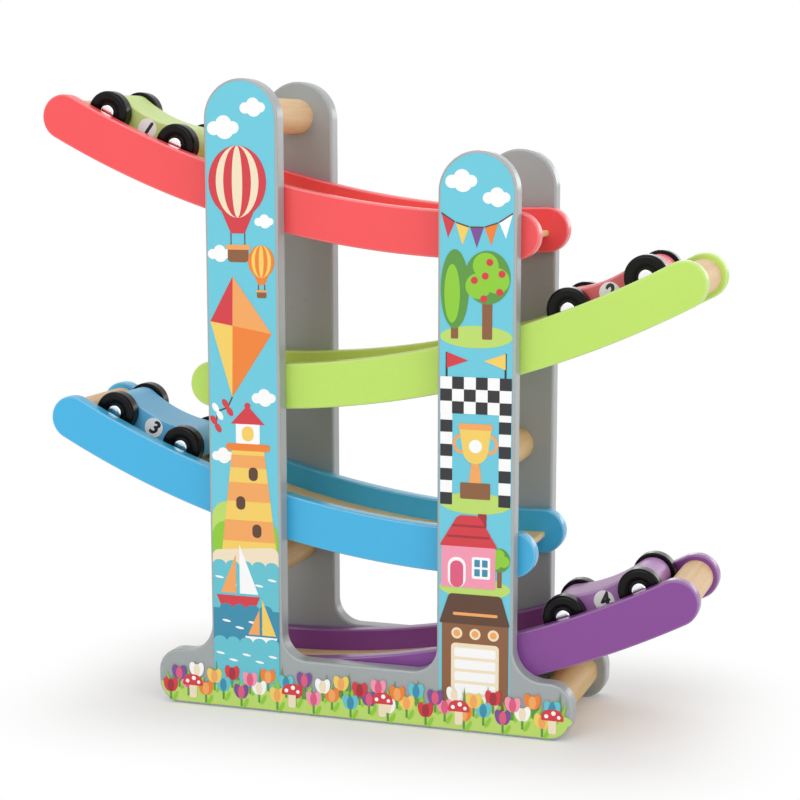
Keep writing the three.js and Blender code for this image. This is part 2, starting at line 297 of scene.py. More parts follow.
def patch(colour, level, *corners):
    """A flat patch with corners at x, z in millimetres and, where given, a radius.

    The level counts films up from the face of the panel.
    """
    y = print_face - level * film
    radii = {}
    outline = []
    for x, z, *radius in corners:
        vert = picture.verts.new((panel_middle + x * MM, y, z * MM))
        outline.append(vert)
        if radius:
            radii.setdefault(radius[0], []).append(vert)
    face = picture.faces.new(outline)
    for radius, verts in radii.items():
        rounded = round_off(picture, verts, radius * MM, 10, "VERTICES")
        face = rounded["verts"][0].link_faces[0]
    dye([face], ink, colour)


def disc(colour, level, x, z, width, height, turn=0, segments=36):
    """A round or oval patch, turned clockwise by some degrees."""
    place = (
        Matrix.Translation((panel_middle + x * MM, print_face - level * film, z * MM))
        @ Matrix.Rotation(math.radians(turn), 4, "Y")
        @ Matrix.Diagonal((width / 2 * MM, 1, height / 2 * MM, 1))
        @ Matrix.Rotation(math.pi / 2, 4, "X")
    )
    drawn = bmesh.ops.create_circle(picture, cap_ends=True, segments=segments, radius=1, matrix=place)
    dye(drawn["verts"][0].link_faces, ink, colour)


def box_patch(colour, level, x, z, width, height, radius=0.01):
    """A patch with level sides, x and z at the middle of its foot."""
    left, right = x - width / 2, x + width / 2
    top = z + height
    places = ((left, z), (right, z), (right, top), (left, top))
    patch(colour, level, *[(*place, radius) for place in places])


def taper(colour, level, x, foot, foot_width, top, top_width):
    """A patch with level foot and top of two widths."""
    patch(
        colour, level,
        (x - foot_width / 2, foot), (x + foot_width / 2, foot),
        (x + top_width / 2, top), (x - top_width / 2, top),
    )


def stroke(colour, level, start, end, width):
    """A straight line between two points."""
    start, end = Vector(start), Vector(end)
    across = (end - start).orthogonal().normalized() * width / 2
    patch(colour, level, start - across, end - across, end + across, start + across)


def cloud(x, z, size):
    """A cloud of four puffs."""
    puffs = ((-0.8, 0, 1.1), (0.75, 0.05, 1), (0, 0.35, 1.3), (0.1, -0.1, 1.5))
    for step, (dx, dz, width) in enumerate(puffs):
        disc(WHITE, 2 + step, x + dx * size, z + dz * size, width * size, 0.95 * width * size)


tower_x = (tower_inner + tower_outer) / 2 / MM
sky_half = ((tower_outer - tower_inner) / 2 - print_margin) / MM
for x, top in ((-tower_x, left_tower_top), (tower_x, right_tower_top)):
    head = (top - print_margin) / MM
    radius = sky_half - 0.01
    patch(
        SKY, 1,
        (x - sky_half, sky_foot), (x + sky_half, sky_foot),
        (x + sky_half, head, radius), (x - sky_half, head, radius),
    )
for x, z, size in (
    (-64, 273, 6), (-49.5, 282, 4.8), (-44.5, 231, 3.6), (-66.8, 216, 4.4),
    (-66.6, 122, 4.2), (-45.6, 150, 4.6), (49, 250, 5.6), (65, 243, 4.8),
):
    cloud(x, z, size)


# Two balloons and a kite, high on the left tower
def balloon(x, z, size, stripe, ground):
    """A striped balloon over its basket, with z at the middle and the size across it."""
    taper(stripe, 7, x, z - 0.82 * size, 0.24 * size, z - 0.36 * size, 0.66 * size)
    stripes = ((stripe, 1), (ground, 0.74), (stripe, 0.48), (ground, 0.18))
    for step, (colour, width) in enumerate(stripes):
        disc(colour, 8 + step, x, z, width * size, 1.14 * size)
    for side in (-1, 1):
        rope = x + side * 0.12 * size
        stroke(DARK_BROWN, 6, (rope, z - 0.8 * size), (rope, z - 1.05 * size), 0.5)
    box_patch(BROWN, 7, x, z - 1.28 * size, 0.36 * size, 0.27 * size, 0.06 * size)
    box_patch(AMBER, 8, x, z - 1.08 * size, 0.42 * size, 0.08 * size, 0.03 * size)


balloon(-57.6, 249, 28.5, RED, CREAM)
balloon(-46.2, 213, 13, ORANGE, YELLOW)

kite_top, kite_right, kite_foot, kite_left = (-60.5, 206), (-41.5, 180), (-61.5, 150), (-72, 185)
kite_middle = (-60.9, 183.2)
patch(ORANGE, 7, kite_top, kite_right, kite_foot, kite_left)
patch(AMBER, 8, kite_top, kite_right, kite_middle)
patch(YELLOW, 8, kite_left, kite_middle, kite_foot)
patch(RED, 8, kite_top, kite_middle, kite_left)
tail = (kite_foot, (-64, 145), (-69, 143), (-70, 137))
for step, (start, end) in enumerate(zip(tail, tail[1:])):
    stroke(DARK_BROWN, 5 + step % 2, start, end, 0.7)
for (x, z), colour in zip(tail[1:], (RED, WHITE, RED)):
    disc(colour, 7, x - 1.1, z + 1.8, 4.8, 2.8, 58, 20)
    disc(colour, 8, x + 1.1, z - 1.8, 4.8, 2.8, 58, 20)

# Lighthouse on a hill by the sea
left_edge, right_edge = -tower_x - sky_half, -tower_x + sky_half
patch(GRASS, 6, (left_edge, 74), (right_edge, 74), (right_edge, 92, 9), (left_edge, 104, 12))
patch(LEAF, 7, (left_edge, 74), (right_edge, 74), (right_edge, 96, 12), (left_edge, 90, 6))
light_x = -54
light_foot, light_top = 76, 126
foot_width, top_width = 28, 16
narrowing = (foot_width - top_width) / (light_top - light_foot)
taper(YELLOW, 8, light_x, light_foot, foot_width, light_top, top_width)
for foot, height in ((82, 10), (101, 9), (117, 6)):
    width = foot_width - narrowing * (foot - light_foot)
    taper(AMBER, 9, light_x, foot, width, foot + height, width - narrowing * height)
for z, aside in ((84, 4), (97, -4), (111, 2.5)):
    box_patch(DARK_BROWN, 10, light_x + aside, z, 4.6, 6.4, 2.2)
box_patch(ORANGE, 9, light_x, 125, 22, 3.4, 1.2)
box_patch(WHITE, 8, light_x, 128.4, 12, 9.6, 0.6)
box_patch(YELLOW, 9, light_x, 129.6, 6, 7, 2.8)
taper(RED, 9, light_x, 137.6, 17, 145.6, 1.6)
disc(RED, 10, light_x, 146.2, 3, 3, 0, 20)

# Sea in three rows of waves, with a sailing boat between each two
patch(CREAM, 10, (left_edge, 70), (right_edge, 70), (right_edge, 80, 4), (left_edge, 77, 3))
wave_width = sky_half * 2 / 5
for level, top, shift, colour in ((11, 70, 0.5, TEAL), (15, 49, 1, DEEP_TEAL), (19, 33, 0.5, TEAL)):
    patch(
        colour, level,
        (left_edge, sky_foot), (right_edge, sky_foot), (right_edge, top), (left_edge, top),
    )
    for step in range(5 - int(shift)):
        wave_x = left_edge + wave_width * (step + shift)
        disc(colour, level + 1, wave_x, top, wave_width, 5)
        disc(WHITE, level + 1, wave_x, top - 6 - 3 * (step % 2), 4.4, 1.1, 8, 20)
for x, z, size, level, sail, hull in (
    (-60, 47, 1.15, 13, WHITE, RED),
    (-48.5, 30, 0.85, 17, YELLOW, WHITE),
):
    foot, tip = z + 8.4 * size, z + 29 * size
    patch(sail, level, (x + 0.8 * size, foot), (x + 9 * size, foot), (x + 0.8 * size, tip))
    patch(AMBER, level, (x - 7.6 * size, foot), (x - 0.8 * size, foot), (x - 0.8 * size, tip - 5))
    side = z + 7.4 * size
    patch(
        hull, level + 1,
        (x - 9.6 * size, side), (x - 6.4 * size, z, 1.2),
        (x + 6.4 * size, z, 1.2), (x + 9.8 * size, side),
    )


# Bunting and trees, high on the right tower
def tree(x, z, size, level):
    """A round tree, x and z at the foot of its trunk and the size across its crown."""
    box_patch(BROWN, level, x, z, 0.22 * size, size, 0.03 * size)
    disc(DARK_LEAF, level + 1, x, z + 1.3 * size, size, 1.12 * size)
    for step, (dx, dz) in enumerate(((-0.2, 1.12), (0.2, 1.24), (-0.04, 1.55))):
        disc(LEAF, level + 2 + step, x + dx * size, z + dz * size, 0.56 * size, 0.54 * size)


for step, colour in enumerate((RED, YELLOW, PURPLE, ORANGE, WHITE)):
    x = tower_x - 13.2 + 6.6 * step
    start, end = [(place, 230 + 0.024 * (place - tower_x) ** 2) for place in (x - 3.1, x + 3.1)]
    stroke(DARK_BROWN, 8, start, end, 0.6)
    patch(colour, 7, start, end, (x, (start[1] + end[1]) / 2 - 9))
for z in (182, 107, 68):
    disc(GRASS, 5, tower_x, z, 2 * sky_half - 0.2, 10)
apple_x, apple_foot = 61, 181
tree(apple_x, apple_foot, 21, 9)
for dx, dz in ((-6, 26), (5.6, 21), (1, 34), (-1.6, 18), (6.6, 29), (-1, 28)):
    disc(RED, 14, apple_x + dx, apple_foot + dz, 3.2, 3.2, 0, 20)
box_patch(BROWN, 6, 46, 181, 3.4, 12, 0.4)
disc(DARK_LEAF, 7, 46, 203, 13, 35)
disc(LEAF, 8, 44.8, 201, 7.2, 26)

# Finish gate with a chequered banner, and a cup beneath
check = 5.5
post_width, post_foot = 5.6, 106
for post_x, colour, sway in ((42.4, RED, 1), (69.6, YELLOW, -1)):
    box_patch(WHITE, 7, post_x, post_foot, post_width, 8 * check, 0.4)
    for step in range(4):
        box_patch(BLACK, 8, post_x, post_foot + 2 * check * step, post_width, check, 0.2)
    stroke(BLACK, 8, (post_x, 164), (post_x, 175), 0.9)
    patch(colour, 9, (post_x, 175), (post_x + 10 * sway, 171.4), (post_x, 167.8))
for row in range(3):
    for column in range(6):
        colour = BLACK if (row + column) % 2 else WHITE
        box_patch(colour, 10, tower_x + check * (column - 2.5), 147.5 + check * row, check, check)
for side in (-1, 1):
    disc(AMBER, 8, tower_x + side * 6.6, 134, 8, 9)
    disc(SKY, 9, tower_x + side * 6.6, 134, 5, 6)
patch(YELLOW, 10, (48.4, 142), (63.6, 142), (61, 125, 5), (51, 125, 5))
box_patch(AMBER, 11, tower_x, 140.4, 16, 2.8, 1.2)
taper(AMBER, 9, tower_x, 116, 6, 128, 3)
box_patch(BROWN, 10, tower_x, 109, 14, 7.4, 0.6)
disc(WHITE, 11, tower_x, 133, 6, 6)

# Pink house with a red roof, and a young tree
house_x = 53
tree(67.6, 69, 9.8, 7)
box_patch(PINK, 12, house_x, 68, 25.4, 20, 0.4)
box_patch(DARK_RED, 12, house_x + 6.4, 90, 4, 12.4, 0.3)
patch(RED, 13, (39.3, 87, 1), (66.7, 87, 1), (58, 101.4, 2), (48, 101.4, 2))
for z, width in ((91, 20), (96, 15.5)):
    box_patch(DARK_RED, 14, house_x, z, width, 1.1, 0.4)
box_patch(WHITE, 13, house_x - 5.4, 68, 8.4, 14, 4)
box_patch(DARK_PINK, 14, house_x - 5.4, 68, 6.2, 12.4, 3)
box_patch(WHITE, 13, house_x + 6, 72.5, 8.6, 10, 0.8)
box_patch(DEEP_TEAL, 14, house_x + 6, 73.7, 6.2, 7.6, 0.4)
box_patch(WHITE, 15, house_x + 6, 77, 6.2, 1, 0.1)
box_patch(WHITE, 16, house_x + 6, 73.7, 1, 7.6, 0.1)

# Brown garage with a cream door
garage_x = 56.4
box_patch(BROWN, 9, garage_x, sky_foot, 31.4, 45, 0.6)
patch(DARK_BROWN, 10, (39.3, 51, 1), (72.7, 51, 1), (68.5, 65, 1.5), (44, 65, 1.5))
box_patch(AMBER, 11, garage_x, 55, 21, 1.4, 0.6)
box_patch(CREAM, 10, garage_x, sky_foot, 22.6, 33, 2)
for row in range(5):
    box_patch(WHITE, 11, garage_x, 13.2 + 5.6 * row, 19.4, 4.2, 0.8)
for side in (-1, 0, 1):
    disc(CREAM, 10, garage_x + side * 8.6, 46.6, 5.2, 5.2)
    disc(AMBER, 11, garage_x + side * 8.6, 46.6, 3.2, 3.2, 0, 20)

# Meadow along the base: grass mounds and tufts, tulips and toadstools
margin = print_margin / MM
meadow_end = foot_end / MM - margin
turf = foot_round / MM - margin
patch(
    GRASS, 21,
    (-meadow_end, margin, turf), (meadow_end, margin, turf),
    (meadow_end, 10.6, 5), (-meadow_end, 10.6, 5),
)
for step in range(18):
    tuft_x = 6.4 - meadow_end + step * 11.2
    tuft_z = 8 + 1.6 * (step % 3)
    disc(GRASS, 22 + step % 2, tuft_x, 9.6, 12, 4 + 1.6 * (step % 2))
    blades = ((-3.8, 8.5, LEAF), (3.6, 8, LEAF), (0.4, 12, DARK_LEAF))
    for level, (lean, height, colour) in enumerate(blades, 24):
        root_x = tuft_x + lean * 0.3
        tip = (tuft_x + lean, tuft_z + height)
        patch(colour, level, (root_x - 1.2, tuft_z), (root_x + 1.2, tuft_z), tip)


def tulip(x, z, colour, dark):
    """A tulip, x and z at the top of its stem."""
    stroke(DARK_LEAF, 27, (x, z - 5), (x, z), 1)
    disc(LEAF, 27, x + 2.2, z - 3.4, 1.9, 5.6, 28, 16)
    disc(colour, 28, x - 1.7, z + 2.4, 3.9, 7.2, -15, 24)
    disc(colour, 29, x + 1.7, z + 2.4, 3.9, 7.2, 15, 24)
    disc(dark, 30, x, z + 2, 3.4, 6.2, 0, 24)


def toadstool(x, z):
    """A toadstool, x and z on its stalk just under the cap."""
    box_patch(CREAM, 31, x, z - 5, 3.8, 7.4, 1)
    patch(
        RED, 32,
        (x - 5.4, z + 1.2, 1), (x + 5.4, z + 1.2, 1),
        (x + 4.4, z + 6.6, 3.4), (x - 4.4, z + 6.6, 3.4),
    )
    for dx, dz, size in ((-2.8, 3.2, 1.9), (0.5, 4.8, 2.1), (3, 3, 1.7)):
        disc(WHITE, 33, x + dx, z + dz, size, size, 0, 16)


blooms = (
    (RED, DARK_RED), (WHITE, CREAM), (TEAL, DEEP_TEAL), (PINK, DARK_PINK),
    (YELLOW, AMBER), (PURPLE, DARK_PINK), (ORANGE, AMBER),
)
for step in range(42):
    bloom_x = 5 - meadow_end + step * 4.6
    bloom_z = (6.6, 13, 9.2, 15.2)[step % 4]
    tulip(bloom_x, bloom_z, *blooms[(step * 5) % 7])
for x in (-84, -33, 12, 49, 93):
    toadstool(x, 8.4)


def printed_ink(name):
    """Screen ink that takes its colour from the film's own attribute."""
    material, paint = new_material(name)
    place = paint.node("ShaderNodeTexCoord", output="Object")
    flat = paint.node("ShaderNodeAttribute", {"attribute_name": "Ink"})
    grain = paint.node("ShaderNodeTexNoise", inputs={"Vector": place, "Scale": 1100, "Detail": 2})
    cloudy = paint.node("ShaderNodeTexNoise", inputs={"Vector": place, "Scale": 30, "Detail": 3})
    thin = paint.node(
        "ShaderNodeHueSaturation",
        inputs={"Value": 0.96, "Saturation": 0.97, "Color": flat},
    )
    tone = paint.mix(grain * 0.5 + cloudy * 0.5, thin, flat)
    tooth = paint.node(
        "ShaderNodeBump",
        inputs={"Strength": 0.15, "Distance": 0.00003, "Height": grain},
    )
    surface = paint.node(
        "ShaderNodeBsdfPrincipled",
        inputs={
            "Base Color": tone,
            "Roughness": cloudy * 0.14 + 0.36,
            "Coat Weight": 0.1,
            "Coat Roughness": 0.2,
            "Normal": tooth,
        },
    )
    paint.node("ShaderNodeOutputMaterial", inputs={"Surface": surface})
    return material


picture_ink = printed_ink("printed_ink")


def add_print(name, sheet, body, slot):
    """Adds a printed sheet as a piece, with each of its patches one film thick."""
    printed = add_piece(name, sheet, picture_ink, body, slot, smooth=False)
    skin = printed.modifiers.new("Film", "SOLIDIFY")
    skin.thickness = film
    skin.offset = -1


add_print("front_panel_picture", picture, "frame", "front_panel_print")


# The cross dowels: four turned rods of pale natural wood that tie the panels together.
# A spigot at each end is glued in a blind hole, and the shoulders set the panels' distance.

spigot_radius = 5 * MM
dowel_chamfer = 0.5 * MM


def natural_wood(name, along, dark, middle, light):
    """Sanded beech, sealed matt, in three shades. The grain runs along the axis that is given."""
    material, wood = new_material(name)
    stretch = {"X": (3, 60, 60), "Y": (60, 3, 60)}[along]
    place = wood.node("ShaderNodeTexCoord", output="Object")
    run = wood.node("ShaderNodeMapping", inputs={"Vector": place, "Scale": stretch})
    bands = wood.node(
        "ShaderNodeTexNoise",
        inputs={"Vector": run, "Scale": 1.6, "Detail": 5, "Roughness": 0.6},
    )
    fibre = wood.node(
        "ShaderNodeTexNoise",
        inputs={"Vector": run, "Scale": 9, "Detail": 4, "Roughness": 0.7},
    )
    pores = wood.node("ShaderNodeTexNoise", inputs={"Vector": run, "Scale": 26, "Detail": 2})
    shades = [
        (0.3, screen_colour(dark)),
        (0.48, screen_colour(middle)),
        (0.68, screen_colour(light)),
    ]
    tone = wood.node("ShaderNodeValToRGB", {"stops": shades}, {"Fac": bands * 0.65 + fibre * 0.35})
    pits = [(0.3, (1, 1, 1, 1)), (0.42, (0, 0, 0, 1))]
    fleck = wood.node("ShaderNodeValToRGB", {"stops": pits}, {"Fac": pores})
    flecked = wood.mix(fleck * 0.16, tone, screen_colour("a97c4d"))
    relief = wood.node(
        "ShaderNodeBump",
        inputs={"Strength": 0.35, "Distance": 0.00012, "Height": fibre * 0.6 - fleck * 0.5},
    )
    surface = wood.node(
        "ShaderNodeBsdfPrincipled",
        inputs={"Base Color": flecked, "Roughness": fibre * 0.2 + 0.45, "Normal": relief},
    )
    wood.node("ShaderNodeOutputMaterial", inputs={"Surface": surface})
    return material


def turned(profile, roundings=(), sides=56):
    """A piece turned about the Y axis, with some of its round edges softened."""
    lathe = bmesh.new()
    points = [lathe.verts.new((radius, y, 0)) for radius, y in profile]
    for first, second in zip(points, points[1:]):
        lathe.edges.new((first, second))
    bmesh.ops.spin(
        lathe, geom=lathe.verts[:] + lathe.edges[:], cent=(0, 0, 0), axis=(0, 1, 0),
        angle=2 * math.pi, steps=sides, use_merge=True,
    )
    bmesh.ops.remove_doubles(lathe, verts=lathe.verts, dist=hair)
    bmesh.ops.dissolve_degenerate(lathe, dist=hair / 10, edges=lathe.edges)
    for radius, y, amount, steps in roundings:
        ring = []
        for edge in lathe.edges:
            misses = [(math.hypot(vert.co.x, vert.co.z) - radius, vert.co.y - y) for vert in edge.verts]
            if all(abs(outward) < hair and abs(along) < hair for outward, along in misses):
                ring.append(edge)
        round_off(lathe, ring, amount, steps)
    bmesh.ops.recalc_face_normals(lathe, faces=lathe.faces)
    return lathe


def move(shape, matrix):
    """Moves a shape, and hands it on."""
    bmesh.ops.transform(shape, matrix=matrix, verts=shape.verts)
    return shape


# One beech in two copies: a paler one for the top and start dowels, which is painted light, and a
# darker, yellower one for the lower dowels, which is painted shade.
lit_wood = natural_wood("lit_dowel_wood", "Y", "d6af80", "e3c093", "edd3aa")
shaded_wood = natural_wood("shaded_dowel_wood", "Y", "cba66f", "d8b67f", "e1c793")
panel_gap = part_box("back_panel")[0].y - panel_high.y
for place in ("top", "left", "right", "foot"):
    node = f"{place}_cross_dowel"
    low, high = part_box(node)
    radius = (high.z - low.z) / 2
    end = (high.y - low.y) / 2
    shoulder = panel_gap / 2
    profile = [
        (0, -end), (spigot_radius, -end), (spigot_radius, -shoulder), (radius, -shoulder),
        (radius, shoulder), (spigot_radius, shoulder), (spigot_radius, end), (0, end),
    ]
    softened = [(spigot_radius, -end, dowel_chamfer, 2), (spigot_radius, end, dowel_chamfer, 2)]
    dowel = turned(profile, softened)
    move(dowel, Matrix.Translation((low + high) / 2))
    # The top dowel takes the paler copy with painted light, the lower dowels the darker copy with
    # painted shade.
    wood = lit_wood if place == "top" else shaded_wood
    add_piece(f"{node}_rod", dowel, wood, "frame", "natural_wood", node)


# The ramps: two painted walls sawn to one arc with half-round ends, a thin wooden floor strip
# bent into grooves in the walls, and a thick dowel across the high end where a car starts.
# The outer faces of the walls are glued to the panels.

ramp_radius = 440 * MM
ramp_high_run = 208 * MM
ramp_low_run = 13.7 * MM
wall_half = 10.6 * MM
wall_edge = 1 * MM
floor_end_reach = 1.2 * MM
floor_nose = 1.2 * MM
floor_thickness = 3 * MM
glue_gap = 0.3 * MM
high_angle = math.asin(ramp_high_run / ramp_radius)
low_angle = -math.asin(ramp_low_run / ramp_radius)

ramp_paints = {"red": "fc5256", "green": "c2e669", "blue": "3cb6e8", "purple": "874196"}
ramp_coats = {"red": 0.3, "green": 0.05, "blue": 0.4, "purple": 0.4}
ramp_cars = {"red": "car_1", "green": "car_2", "blue": "car_3", "purple": "car_4"}
joint_places = {joint["name"]: Vector(joint["pos_m"]) for joint in frame["joints"]}
joint_axes = {joint["name"]: Vector(joint["axis"]) for joint in frame["joints"]}


def on_ramp(centre, side, radius, angle):
    """A point on a ramp. The angle is counted uphill from the lowest point."""
    return centre + Vector((-side * radius * math.sin(angle), 0, -radius * math.cos(angle)))


def trace(start, arcs):
    """A flat outline in the XZ plane, drawn by turning a point about one centre after another."""
    drawing = bmesh.new()
    pencil = drawing.verts.new(start)
    for centre, angle, steps in arcs:
        spun = bmesh.ops.spin(
            drawing, geom=[pencil], cent=centre, axis=(0, 1, 0), angle=angle, steps=steps,
        )
        pencil = [item for item in spun["geom_last"] if isinstance(item, bmesh.types.BMVert)][0]
    bmesh.ops.remove_doubles(drawing, verts=drawing.verts, dist=2 * hair)
    face = bmesh.ops.contextual_create(drawing, geom=drawing.edges[:])["faces"][0]
    return drawing, face


def ramp_wall(centre, side, y_front, thickness):
    """A wall, traced down its arc and round both ends."""
    base = Vector((centre.x, y_front, centre.z))
    sweep = side * (low_angle - high_angle)
    low_end = on_ramp(base, side, ramp_radius, low_angle)
    high_end = on_ramp(base, side, ramp_radius, high_angle)
    start = on_ramp(base, side, ramp_radius + wall_half, high_angle)
    half_round = -side * math.pi
    arcs = [
        (base, sweep, 40), (low_end, half_round, 24),
        (base, -sweep, 40), (high_end, half_round, 24),
    ]
    wall, face = trace(start, arcs)
    thicken(wall, face, thickness)
    round_rims(wall, wall_edge, 3)
    return wall


def ramp_floor(centre, side, start_dowel_radius, y_front, y_back):
    """A floor strip, swept down its arc from the start dowel to a rounded nose."""
    start_angle = high_angle - (start_dowel_radius + glue_gap) / ramp_radius
    end_angle = low_angle - floor_end_reach / ramp_radius
    strip = bmesh.new()
    corners = []
    for radius, y in (
        (ramp_radius, y_front), (ramp_radius, y_back),
        (ramp_radius + floor_thickness, y_back), (ramp_radius + floor_thickness, y_front),
    ):
        point = on_ramp(centre, side, radius, start_angle)
        corners.append(strip.verts.new((point.x, y, point.z)))
    end = strip.faces.new(corners)
    bmesh.ops.spin(
        strip, geom=[end], cent=centre, axis=(0, 1, 0),
        angle=side * (end_angle - start_angle), steps=44,
    )
    bmesh.ops.remove_doubles(strip, verts=strip.verts, dist=hair / 10)
    tip = on_ramp(centre, side, ramp_radius, end_angle)
    nose = []
    for edge in strip.edges:
        across = abs(edge.verts[0].co.y - edge.verts[1].co.y) > hair
        reach = max(math.hypot(vert.co.x - tip.x, vert.co.z - tip.z) for vert in edge.verts)
        if across and reach < 1.1 * floor_thickness:
            nose.append(edge)
    round_off(strip, nose, floor_nose, 4)
    bmesh.ops.recalc_face_normals(strip, faces=strip.faces)
    return strip


strip_wood = natural_wood("strip_wood", "X", "dcb680", "e9c893", "f4dba9")
for colour, code in ramp_paints.items():
    car = ramp_cars[colour]
    centre = joint_places[f"{car}_run"]
    side = -joint_axes[f"{car}_run"].y
    # The last figure is the strength of the painted highlight on the walls' rims.
    wall_paint = sprayed_paint(f"{colour}_ramp_paint", code, 0.36, ramp_coats[colour], 0.2)
    for where in ("front", "back"):
        node = f"{colour}_ramp_{where}_wall"
        low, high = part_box(node)
        wall = ramp_wall(centre, side, low.y, high.y - low.y)
        add_piece(f"{node}_board", wall, wall_paint, "frame", f"{colour}_paint", node)

    node = f"{colour}_ramp_start_dowel"
    low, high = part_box(node)
    radius = (high.z - low.z) / 2
    end = (high.y - low.y) / 2
    softened = [(radius, -end, dowel_chamfer, 2), (radius, end, dowel_chamfer, 2)]
    dowel = turned([(0, -end), (radius, -end), (radius, end), (0, end)], softened)
    move(dowel, Matrix.Translation((low + high) / 2))
    # The start dowels take the paler copy of the beech, which is painted light.
    add_piece(f"{node}_rod", dowel, lit_wood, "frame", "natural_wood", node)

    node = f"{colour}_ramp_floor"
    low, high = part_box(node)
    strip = ramp_floor(centre, side, radius, low.y, high.y)
    add_piece(f"{node}_strip", strip, strip_wood, "frame", "natural_wood", node)


# The cars: a waisted wooden body in gloss paint, with two steel axles through it.
# Black wheels are pressed on the axles, with a bright cap in each hub.
# A white disc with the car's number is printed on both sides.

body_end = 8.3 * MM
body_waist = 5.8 * MM
body_edge = 1.2 * MM
wheel_radius = 10 * MM
wheel_shoulder = 1.5 * MM
wheel_inner_edge = 0.6 * MM
wheel_bore = 1.7 * MM
wheel_dish = 6.6 * MM
dish_depth = 0.6 * MM
dish_edge = 0.4 * MM
hub_recess = 4.7 * MM
recess_depth = 1.2 * MM
recess_edge = 0.2 * MM
axle_radius = 1.5 * MM
cap_radius = 3.6 * MM
cap_thickness = 1.2 * MM
cap_dome = 0.95 * MM
number_disc = 4.8 * MM
number_height = 9 * MM
number_bold = 0.38 * MM
number_slant = 0.25

car_paints = {"car_1": "cbe285", "car_2": "ec6b72", "car_3": "66bcec", "car_4": "b07abc"}


def wheel_plastic(name):
    """Gloss black plastic with the faint turning rings of its mould."""
    material, plastic = new_material(name)
    place = plastic.node("ShaderNodeTexCoord", output="Object")
    round_place = plastic.node("ShaderNodeAttribute", {"attribute_name": "Turning"}, output="Fac")
    rings = plastic.math("SINE", round_place * 9000, 0)
    scuff = plastic.node("ShaderNodeTexNoise", inputs={"Vector": place, "Scale": 300, "Detail": 4})
    relief = plastic.node(
        "ShaderNodeBump",
        inputs={"Strength": 0.12, "Distance": 0.00003, "Height": rings},
    )
    tone = plastic.mix(scuff, screen_colour("090809"), screen_colour("131211"))
    surface = plastic.node(
        "ShaderNodeBsdfPrincipled",
        inputs={
            "Base Color": tone,
            "Roughness": scuff * 0.16 + 0.16,
            "Specular IOR Level": 0.14,
            "Coat Weight": 0.08,
            "Coat Roughness": 0.06,
            "Normal": relief,
        },
    )
    plastic.node("ShaderNodeOutputMaterial", inputs={"Surface": surface})
    return material


def bright_metal(name):
    """Polished plated steel with faint handling marks."""
    material, metal = new_material(name)
    place = metal.node("ShaderNodeTexCoord", output="Object")
    smear = metal.node("ShaderNodeTexNoise", inputs={"Vector": place, "Scale": 500, "Detail": 3})
    tone = metal.mix(smear, screen_colour("eceef0"), screen_colour("fbfbfb"))
    surface = metal.node(
        "ShaderNodeBsdfPrincipled",
        inputs={"Base Color": tone, "Metallic": 1, "Roughness": smear * 0.1 + 0.08},
    )
    metal.node("ShaderNodeOutputMaterial", inputs={"Surface": surface})
    return material


def car_body(half_base, width):
    """A body with round ends about the axles, and hollow flanks that leave a waist."""
    flank = (half_base**2 + body_waist**2 - body_end**2) / (2 * (body_end - body_waist))
    flank_height = flank + body_waist
    sweep = 2 * math.atan2(half_base, flank_height)
    end_sweep = math.pi + sweep
    right = Vector((half_base, -width / 2, 0))
    left = Vector((-half_base, -width / 2, 0))
    above = Vector((0, -width / 2, flank_height))
    below = Vector((0, -width / 2, -flank_height))
    start = right + (below - right).normalized() * body_end
    arcs = [(right, -end_sweep, 36), (above, sweep, 20), (left, -end_sweep, 36), (below, sweep, 20)]
    body, face = trace(start, arcs)
    thicken(body, face, width)
    round_rims(body, body_edge, 4)
    return body


def wheel(inner, outer):
    """A wheel on the back side of a car, with each point's distance from the axle for the rings."""
    profile = [
        (wheel_bore, inner), (wheel_radius, inner), (wheel_radius, outer), (wheel_dish, outer),
        (hub_recess, outer - dish_depth), (hub_recess, outer - recess_depth),
        (wheel_bore, outer - recess_depth), (wheel_bore, inner),
    ]
    softened = [
        (wheel_radius, outer, wheel_shoulder, 5),
        (wheel_radius, inner, wheel_inner_edge, 3),
        (wheel_dish, outer, dish_edge, 3),
        (hub_recess, outer - dish_depth, recess_edge, 2),
    ]
    tyre = turned(profile, softened)
    turning = tyre.verts.layers.float.new("Turning")
    for vert in tyre.verts:
        vert[turning] = math.hypot(vert.co.x, vert.co.z)
    return tyre


def axle(cap_face):
    """An axle with a domed cap at each end."""
    seat = cap_face - cap_thickness
    profile = [
        (0, -cap_face), (cap_radius, -cap_face), (cap_radius, -seat), (axle_radius, -seat),
        (axle_radius, seat), (cap_radius, seat), (cap_radius, cap_face), (0, cap_face),
    ]
    softened = [(cap_radius, -cap_face, cap_dome, 5), (cap_radius, cap_face, cap_dome, 5)]
    return turned(profile, softened, 40)


